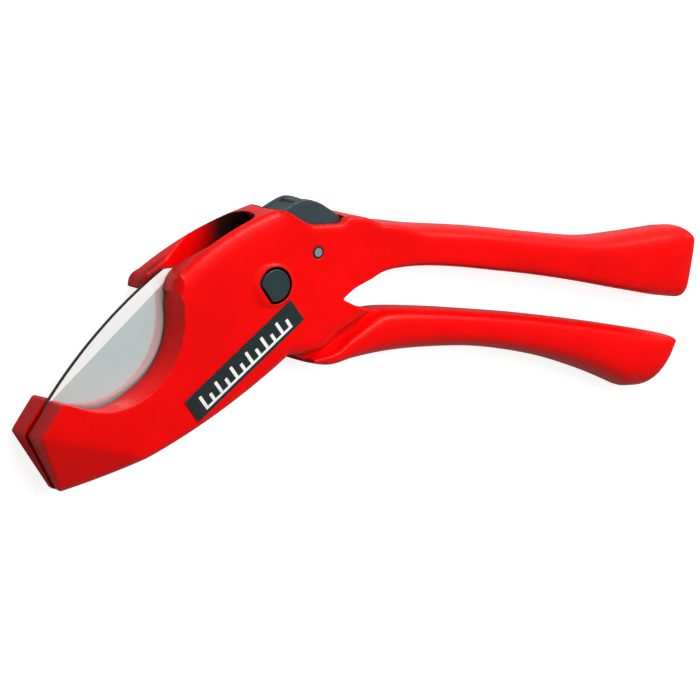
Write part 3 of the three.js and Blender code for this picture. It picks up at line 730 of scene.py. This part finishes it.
upper = {
    "top": [(28.5, 13.2), (33, 14.0), (38, 14.1), (44, 13.6), (51, 12.6), (72, 10.1), (93.5, 6.7), (112, 4.1),
            (126, 4.2), (140, 4.9)],
    "under": [(28.5, -2.6), (32.2, -1.5), (37, 0.5), (43, 1.1), (52.8, 0.7), (63.3, -0.5), (77.3, -2.8),
              (91.6, -5.3), (106, -8.3), (120.9, -11.8), (135.8, -15.2)],
    "end": [(140, 4.9), (150.4, 4.6, 6), (145.8, -16.8, 3), (135.8, -15.2)],
    "halfWidth": 8.9, "crown": 2.9, "crownAtHead": 14.0, "belly": 5.5, "bellyAtHead": 14.0, "endPinch": 2.2,
}
lower = {
    "top": [(13.0, -22.2), (16, -21.6), (19.6, -20.8), (22.6, -19.4), (24.9, -17.6), (30, -14.6),
            (35.4, -11.6), (39, -10.9), (46, -11.2), (60, -12.8), (74, -14.8), (88.5, -17), (103, -19.6),
            (117.8, -22.5), (132.7, -25.7)],
    "under": [(13.0, -23.7), (19.8, -25.1), (28.9, -24), (42.6, -23.2), (56.4, -23.5), (70.4, -24.7),
              (84.7, -27.4), (99.1, -31.3), (113.8, -36.7), (126, -42.2)],
    "end": [(132.7, -25.7), (143.4, -28.2, 2.5), (139, -38.2, 4), (133.6, -42.6, 4), (126, -42.2)],
    "halfWidth": 8.9, "crown": 3.6, "belly": 2.7, "endPinch": 1.8,
}


# the two edges of a grip read at the same stations along it: each is its smooth line, then its
# rounded end out to its furthest point; stations crowd towards that end
def gripEdges(grip, count):
    corner = roundedLine(grip["end"], 9)
    start = int(np.linalg.norm(corner - grip["end"][0][:2], axis=1).argmin())
    corner = np.roll(corner, -start, 0)
    tip = corner[:, 0].argmax()
    top = np.vstack([smoothLine(grip["top"], 120), corner[1:tip + 1]])
    under = np.vstack([smoothLine(grip["under"], 120), corner[:tip - 1:-1]])
    first = max(top[0, 0], under[0, 0])
    last = corner[tip, 0]
    u = np.linspace(0, 1, count)
    body = first + (last - first) * u
    near = last - (last - first) * 0.13 * (1 - np.linspace(0, 1, 40)) ** 2
    stations = np.unique(np.concatenate([body[body < near[0]], near]))[:-1]
    order = np.argsort(under[:, 0], kind="stable")
    yTop = np.interp(stations, *top[np.argsort(top[:, 0], kind="stable")].T)
    yUnder = np.interp(stations, *under[order].T)
    return stations, yTop, yUnder, last


# a grip: superellipse sections whose powers for crown and belly start squarer at the head, with the
# half width pinched in towards the end
def buildGrip(name, grip, count=110):
    stations, yTop, yUnder, last = gripEdges(grip, count)
    u = (stations - stations[0]) / (last - stations[0])
    pinch = grip["endPinch"] * (1 - np.sqrt(1 - np.clip((u - 0.93) / 0.07, 0, 1) ** 2))
    width = grip["halfWidth"] - pinch
    atHead = 1 - ease(stations, stations[0], stations[0] + 24)
    crown, belly = (grip[key] + (grip.get(key + "AtHead", grip[key]) - grip[key]) * atHead
                    for key in ("crown", "belly"))
    top, under = np.column_stack([stations, yTop]), np.column_stack([stations, yUnder])
    return barBetween(name, stations, under, top, width, crown, belly)


upperGrip = finished(buildGrip("upper_grip", upper), "redPowderCoat", "frame", "red_coat")
lowerGrip = buildGrip("lower_grip", lower)
finished(lowerGrip, "redPowderCoat", "handle", "red_coat", "lower_handle")

fork = {"half": 5.6, "gapHalf": 1.5, "ear": 12, "rim": (0.5, 0.35), "bore": 5.08,
        "tongue": [(3.4, -17.6, 2), (5.4, -19.4, 1), (13, -22.9, 1), (21, -24.4), (42, -22), (42, -12),
                   (36.5, -11), (25.5, -8.2, 1), (11.9, -1.4)]}
forkLine = roundedLine([*[tuple(p) for p in arc((0, 0), fork["ear"], 20, 250, 60)], *fork["tongue"]])


# one side plate of the handle's fork, flat with a small rounded rim
def buildForkSide():
    return plate("fork_side", [forkLine, circle((0, 0), fork["bore"], 48)],
                 lambda p, rim: fork["half"] - rimDrop(rim, *fork["rim"]),
                 lambda p, rim: fork["gapHalf"] + rimDrop(rim, *fork["rim"]), rows=(0.1, 0.3, 0.6), pitch=3)


handleFork = joined("handle_fork", [buildForkSide(), turnedOver(buildForkSide())])
finished(handleFork, "redPowderCoat", "handle", "red_coat")
print("handles:", len(upperGrip.data.polygons), len(lowerGrip.data.polygons), "faces")


knife = {
    "half": 0.9, "spineHalf": 0.84, "edgeHalf": 0.1,
    "spineStart": (-31, 6.2), "spineEnd": (-67.6, -27.4), "spineSag": 2.2, "tip": (-69.4, -30.6, 1),
    "edgeCentre": (-56.5, -1), "edgeRadius": 33, "edgeFrom": 248, "edgeTo": 332, "edgeBevel": 5.0,
    "facet": [(-34.1, -0.1), (-64.1, -24.9)], "facetFrom": -24,
    "root": 10.4, "tooth": 11.9, "pitch": 13, "first": -77, "count": 16, "undercut": 0.6,
    "neck": -125, "shoulder": 138, "bore": 5.08,
}
spine = bowed(knife["spineEnd"], knife["spineStart"], -knife["spineSag"], 50)[::-1]
cutting = arc(knife["edgeCentre"], knife["edgeRadius"], knife["edgeFrom"], knife["edgeTo"], 70)
teeth = knife["first"] + knife["pitch"] * np.arange(knife["count"])
roots = arc((0, 0), knife["root"], *(teeth[[0, -1]] - knife["undercut"]), knife["count"])
tips = arc((0, 0), knife["tooth"], *teeth[[0, -1]], knife["count"])
toothLine = np.stack([roots, tips], 1).reshape(-1, 2)
backLine = arc((0, 0), knife["root"], knife["shoulder"] - 8, knife["shoulder"], 3)
bladeLine = roundedLine([*spine.tolist(), knife["tip"], *cutting.tolist(),
                         *arc((0, 0), knife["root"], knife["neck"], knife["first"] - 8, 8).tolist(),
                         *toothLine.tolist(), *backLine.tolist()])
facetWay = np.array(knife["facet"], float)


# half thickness: full in the middle, falling in a straight line from the facet's lower boundary to
# the spine, and along the ground bevel to the cutting edge
def bladeHalf(points, rim):
    along = unit(facetWay[1] - facetWay[0])
    above = (facetWay[0] - points) @ np.array([-along[1], along[0]])
    inFront = ease(-points[:, 0], 22, 28)
    spineAway = lineDistance(points, spine)
    share = np.clip(above / np.maximum(above + spineAway, 1e-6), 0, 1) * inFront
    half = knife["half"] - (knife["half"] - knife["spineHalf"]) * share
    ground = np.clip(1 - lineDistance(points, cutting) / knife["edgeBevel"], 0, 1)
    return np.minimum(half, knife["half"] - (knife["half"] - knife["edgeHalf"]) * ground)


facetLine = facetWay[0] + (facetWay[1] - facetWay[0]) * np.linspace(-0.3, 1.15, 70)[:, None]
groundLine = arc(knife["edgeCentre"], knife["edgeRadius"] - knife["edgeBevel"], knife["edgeFrom"],
                 knife["edgeTo"], 60)
blade = plate("knife_blade", [bladeLine, circle((0, 0), knife["bore"], 48)], bladeHalf,
              lambda p, rim: -bladeHalf(p, rim), rows=(0.25, 0.8), pitch=1.6,
              marks=np.vstack([facetLine, groundLine]), sharpAngle=4)
finished(blade, "bladeGround", "blade", "blade_steel", "blade")
blade.data.materials.append(finishes["bladeFacetPaintedShine"])
blade.data.materials.append(finishes["blackEdge"])


# the facet along the spine, with its painted reflection, and the black walls get finishes of their
# own, by where a face lies
def zoneBlade():
    count = len(blade.data.polygons)
    centre, normal = np.empty(count * 3), np.empty(count * 3)
    blade.data.polygons.foreach_get("center", centre)
    blade.data.polygons.foreach_get("normal", normal)
    centre = (centre.reshape(-1, 3) - pivot) * 1000
    along = unit(facetWay[1] - facetWay[0])
    above = (facetWay[0] - centre[:, :2]) @ np.array([-along[1], along[0]])
    zone = np.where((above > 0) & (centre[:, 0] < knife["facetFrom"]), 1, 0)
    zone = np.where(np.abs(normal.reshape(-1, 3)[:, 2]) < 0.5, 2, zone)
    blade.data.polygons.foreach_set("material_index", zone.astype(np.int32))


zoneBlade()
print("blade:", len(blade.data.polygons), "faces")


lever = {
    "top": [(4.7, 20.2), (9.9, 22.5), (13, 22.8), (17, 21.6), (20.4, 19.6), (23.2, 17.7)],
    "rest": [(4.5, 18.4, 0.6), (8, 15.4, 2), (10.8, 11.5, 1.5), (11.3, 6.8, 1), (14.4, 5, 1.5),
             (17.6, 7, 1.5), (20, 11.4, 2), (22.8, 14.6, 0.8), (24, 16.2, 0.8)],
    "bridge": [(5.2, 20.0), (5.4, 19.0, 0.3), (12.2, 20.6, 0.5), (16.2, 19.5, 1), (19.6, 17.6, 1),
               (22.2, 16, 0.5), (23.3, 17.3, 0.5), (20.4, 19.4), (17, 21.4), (13, 22.6),
               (10.5, 22.3, 0.3), (10.3, 21.5, 0.4), (8.9, 21.1, 0.4), (8.5, 21.7, 0.3)],
    "outer": 5.6, "inner": 4.1, "bridgeHalf": 4.9, "rim": (0.7, 0.5), "innerRim": (0.3, 0.2),
    "pin": (14.4, 8.1), "pinHole": 1.5, "cross": (17, 14), "crossHole": 1.26,
}


# one flange, flat with a soft rim
def buildFlange():
    line = roundedLine([*smoothLine(lever["top"], 24).tolist()[::-1], *lever["rest"]])
    return plate("flange", [line, circle(lever["pin"], lever["pinHole"], 30),
                            circle(lever["cross"], lever["crossHole"], 30)],
                 lambda p, rim: lever["outer"] - rimDrop(rim, *lever["rim"]),
                 lambda p, rim: lever["inner"] + rimDrop(rim, *lever["innerRim"]),
                 rows=(0.08, 0.25, 0.5, 0.8), pitch=1.5, step=0.5)


bridge = plate("bridge", [roundedLine(lever["bridge"])],
               lambda p, rim: lever["bridgeHalf"] + 0 * rim, lambda p, rim: -lever["bridgeHalf"] + 0 * rim,
               rows=(0.3,), pitch=1.5, step=0.5)
leverBody = joined("lever_body", [buildFlange(), turnedOver(buildFlange()), bridge])
finished(leverBody, "slatePlastic", "lever", "slate_plastic", "release_lever")


head = {"top": 9.7, "bottom": 7.2, "inset": -0.35, "rim": (0.4, 0.22),
        "shank": [(2.4, -8.8), (2.9, -8.4), (3.0, -8.0), (3.0, 8.0)]}


# surface of revolution: a profile of (radius, height) carried round the pivot axis
def turnedPart(name, profile, around=56):
    radius, height = np.array(profile, float).T
    turn = np.linspace(0, 2 * np.pi, around, endpoint=False)
    grid = np.stack([radius[:, None] * np.cos(turn), radius[:, None] * np.sin(turn),
                     np.repeat(height[:, None], around, 1)], 2)
    return makeObject(name, grid.reshape(-1, 3), tubeFaces(len(profile), around))


headCap = plate("head_cap", [headLine(head["inset"])],
                lambda p, rim: head["top"] - rimDrop(rim, *head["rim"]),
                lambda p, rim: head["bottom"] + 0 * rim,
                rows=(0.06, 0.18, 0.34, 0.52, 1.2), pitch=1.2, step=0.4)
shank = turnedPart("shank", head["shank"])
pivotBolt = joined("pivot_bolt", [headCap, shank])
finished(pivotBolt, "blackedSteel", "frame", "dark_steel", "main_pivot_bolt")

# painted shade: black rings in the gap round the pivot head and over the lever pin's rim, for their shade
gapShadeAndCap = {"headGap": 0.37, "headHeights": (8.3, 9.35),
         "pinRadius": 1.77, "pinBore": 1.12, "pinHeights": (8.84, 8.92),
         "capRadius": 1.25, "capHeights": (8.86, 8.96)}

pinRing = [circle(cheek["pin"], gapShadeAndCap[key]) for key in ("pinRadius", "pinBore")]
gapShadePair = [slab("head_gap_shade", [headLine(gapShadeAndCap["headGap"])], gapShadeAndCap["headHeights"]),
            slab("pin_gap_shade", pinRing, gapShadeAndCap["pinHeights"], 0.4)]
finished(joined("pivot_gap_shades", gapShadePair), "shadeBlack", "frame", "dark_steel")
pinCap = slab("lever_pin_cap", [circle(cheek["pin"], gapShadeAndCap["capRadius"])], gapShadeAndCap["capHeights"], 0.4)
finished(pinCap, "greySteel", "frame", "dark_steel")

nut = {"bore": 3.06, "cone": 4.9, "fall": 0.5}
nut["low"], nut["high"] = [(corner[2] - pivot[2]) * 1000 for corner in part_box("pivot_nut")]
nutLine = arc((0, 0), cheek["nutAcross"] / math.sqrt(3), 0, 300, 6)


# hexagon chamfered by a cone: a corner falls by a share of its way past the cone's radius
def nutDrop(points):
    return np.maximum(np.hypot(*points.T) - nut["cone"], 0) * nut["fall"]


pivotNut = plate("pivot_nut_hex", [nutLine, circle((0, 0), nut["bore"], 40)],
                 lambda p, rim: nut["high"] - nutDrop(p), lambda p, rim: nut["low"] + nutDrop(p),
                 rows=(0.1, 0.4), pitch=0.8, step=0.4)
finished(pivotNut, "brightPlate", "frame", "bright_steel", "pivot_nut")

label = {"size": (43.2, 7.5), "centre": (-10.05, -20.3), "angle": 36.5, "low": 9.02, "high": 9.28,
         "corner": 0.5, "rim": (0.12, 0.08), "inkHeights": (9.2, 9.31), "inkCorner": 0.2,
         "ticks": 12, "tickSpan": 34.0, "tickWidth": 1.0, "tickHeights": (3.8, 2.3), "tickFoot": -2.0,
         "rule": (0, -2.35, 35.0, 0.7)}


# a rectangle on the label, turned with it
def onLabel(x, y, length, height, corner):
    line = roundedLine([(x + i * length / 2, y + j * height / 2, corner)
                        for i, j in ((-1, -1), (1, -1), (1, 1), (-1, 1))], 5)
    turn = math.radians(label["angle"])
    c, s = math.cos(turn), math.sin(turn)
    return line @ np.array([[c, s], [-s, c]]) + label["centre"]


labelFilm = plate("label_film", [onLabel(0, 0, *label["size"], label["corner"])],
                  lambda p, rim: label["high"] - rimDrop(rim, *label["rim"]),
                  lambda p, rim: label["low"] + 0 * rim,
                  rows=(0.04, 0.12), pitch=2.5)
finished(labelFilm, "labelFilm", "frame", "label_black", "label_plate")
# a plain graduated scale: long and short ticks by turns standing on a rule
tickPlaces = np.linspace(-0.5, 0.5, label["ticks"]) * label["tickSpan"]
tickHeights = np.resize(label["tickHeights"], label["ticks"])
ticks = [(x, label["tickFoot"] + h / 2, label["tickWidth"], h) for x, h in zip(tickPlaces, tickHeights)]
bars = [slab("bar", [onLabel(*bar, label["inkCorner"])], label["inkHeights"], pitch=3)
        for bar in (label["rule"], *ticks)]
finished(joined("label_marks", bars), "labelInk", "frame", "label_black")

cadFinish = {
    "brightPlate": ["pivot_washer", "pivot_sleeve", "near_thrust_washer", "far_thrust_washer",
                    "handle_stop_pin", "pawl_pin", "lever_cross_pin"],
    "greySteel": ["lever_pin"],
    "blackedSteel": ["cover_screw_1", "cover_screw_2", "cover_screw_3", "cover_screw_4", "drive_pawl",
                     "holding_pawl"],
    "springWire": ["handle_spring", "blade_spring", "lever_spring", "pawl_spring"],
}
for finish, names in cadFinish.items():
    for name in names:
        slots = frame["nodes"][name].data.materials
        slots.clear()
        slots.append(finishes[finish])
print("fasteners and label ready")


studio = {
    "centre": (30.732, -22.532, 0.0),
    "toCamera": (-0.53636, 0.17365, 0.82593), "right": (0.83867, 0.0, 0.54464), "distance": 1100,
    "lens": 198, "floorHalf": 6.0, "floorColour": (0.42, 0.42, 0.42), "floorGlow": 0.85,
    "ambient": 0.15, "horizon": 0.6, "zenith": 0.4,
    # name: (place in mm from the pivot, length and width in mm, watts)
    "lamps": {"key": ((50, 240, 650), (420, 420), 3.5), "strip": ((190, 420, 324), (460, 28), 2.3)},
    "unmirrored": ["key"],             # lamps that light the tool without showing in its shine
}


# a soft lamp aimed at the middle of the tool
def addLamp(name, spot, size, power):
    data = bpy.data.lights.new(name, "AREA")
    data.shape, data.energy = "RECTANGLE", power
    data.size, data.size_y = size[0] * 0.001, size[1] * 0.001
    lamp = bpy.data.objects.new(name, data)
    bpy.context.scene.collection.objects.link(lamp)
    lamp.location = place(spot)
    lamp.visible_glossy = name not in studio["unmirrored"]
    aim = place(studio["centre"]) - place(spot)
    back = unit(-aim)
    right = unit(np.cross((0, 1, 0), back))
    turned = Matrix(np.column_stack([right, np.cross(back, right), back]).tolist())
    lamp.rotation_euler = turned.to_euler()


for name, (spot, size, power) in studio["lamps"].items():
    addLamp(name, spot, size, power)

camera = bpy.data.objects.new("camera", bpy.data.cameras.new("camera"))
bpy.context.scene.collection.objects.link(camera)
bpy.context.scene.camera = camera
camera.data.lens, camera.data.sensor_width = studio["lens"], 36
camera.data.clip_start, camera.data.clip_end = 0.05, 20
back, right = np.array(studio["toCamera"]), np.array(studio["right"])
camera.location = place(np.array(studio["centre"]) + studio["distance"] * back)
camera.rotation_euler = Matrix(np.column_stack([right, np.cross(back, right), back]).tolist()).to_euler()


# 1 where a ray comes from the camera or is mirrored or refracted on its way
def seenDirectly(tree):
    path = tree.nodes.new("ShaderNodeLightPath")
    seen = math2(tree, "MAXIMUM", path.outputs["Is Camera Ray"], path.outputs["Is Glossy Ray"])
    return math2(tree, "MAXIMUM", seen, path.outputs["Is Transmission Ray"])


# a pale floor with a glow of its own for the camera, which leaves a faint shadow
def buildFloor():
    half = studio["floorHalf"]
    corner = np.array([(-half, -half, 0), (half, -half, 0), (half, half, 0), (-half, half, 0)])
    mesh = bpy.data.meshes.new("floor")
    mesh.from_pydata(corner.tolist(), [], [(0, 1, 2, 3)])
    floor = bpy.data.objects.new("floor", mesh)
    bpy.context.scene.collection.objects.link(floor)
    material = bpy.data.materials.new("paleFloor")
    material.use_nodes = True
    tree = material.node_tree
    tree.nodes.clear()
    matt = node(tree, "ShaderNodeBsdfDiffuse", Color=(*studio["floorColour"], 1))
    glow = node(tree, "ShaderNodeEmission")
    toCamera = tree.nodes.new("ShaderNodeLightPath").outputs["Is Camera Ray"]
    link(math2(tree, "MULTIPLY", toCamera, studio["floorGlow"]), glow.inputs["Strength"])
    both, out = tree.nodes.new("ShaderNodeAddShader"), tree.nodes.new("ShaderNodeOutputMaterial")
    link(matt.outputs[0], both.inputs[0])
    link(glow.outputs[0], both.inputs[1])
    link(both.outputs[0], out.inputs["Surface"])
    mesh.materials.append(material)
    floor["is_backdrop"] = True


# white for the camera, paler walls and a darker ceiling for mirrored rays, and an even dim light
def buildWorld():
    world = bpy.data.worlds.new("studio")
    bpy.context.scene.world = world
    world.use_nodes = True
    tree = world.node_tree
    backdrop = tree.nodes["Background"]
    backdrop.inputs["Color"].default_value = (1, 1, 1, 1)
    way = node(tree, "ShaderNodeTexCoord")
    split = tree.nodes.new("ShaderNodeSeparateXYZ")
    link(way.outputs["Generated"], split.inputs[0])
    walls = ranged(tree, split.outputs["Z"], studio["horizon"], studio["zenith"], 0.35, 0.8)
    mirrored = math2(tree, "MULTIPLY", walls, seenDirectly(tree))
    lit = math2(tree, "MAXIMUM", mirrored, studio["ambient"])
    toCamera = tree.nodes.new("ShaderNodeLightPath").outputs["Is Camera Ray"]
    link(math2(tree, "MAXIMUM", lit, toCamera), backdrop.inputs["Strength"])


buildFloor()
buildWorld()
bpy.context.scene.view_settings.view_transform = "Standard"
print("stage ready")

lookBox = [list(corner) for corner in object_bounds()]
({"cad": [float(v) for corner in cadBox for v in corner],
           "visual": [float(v) for corner in lookBox for v in corner]})
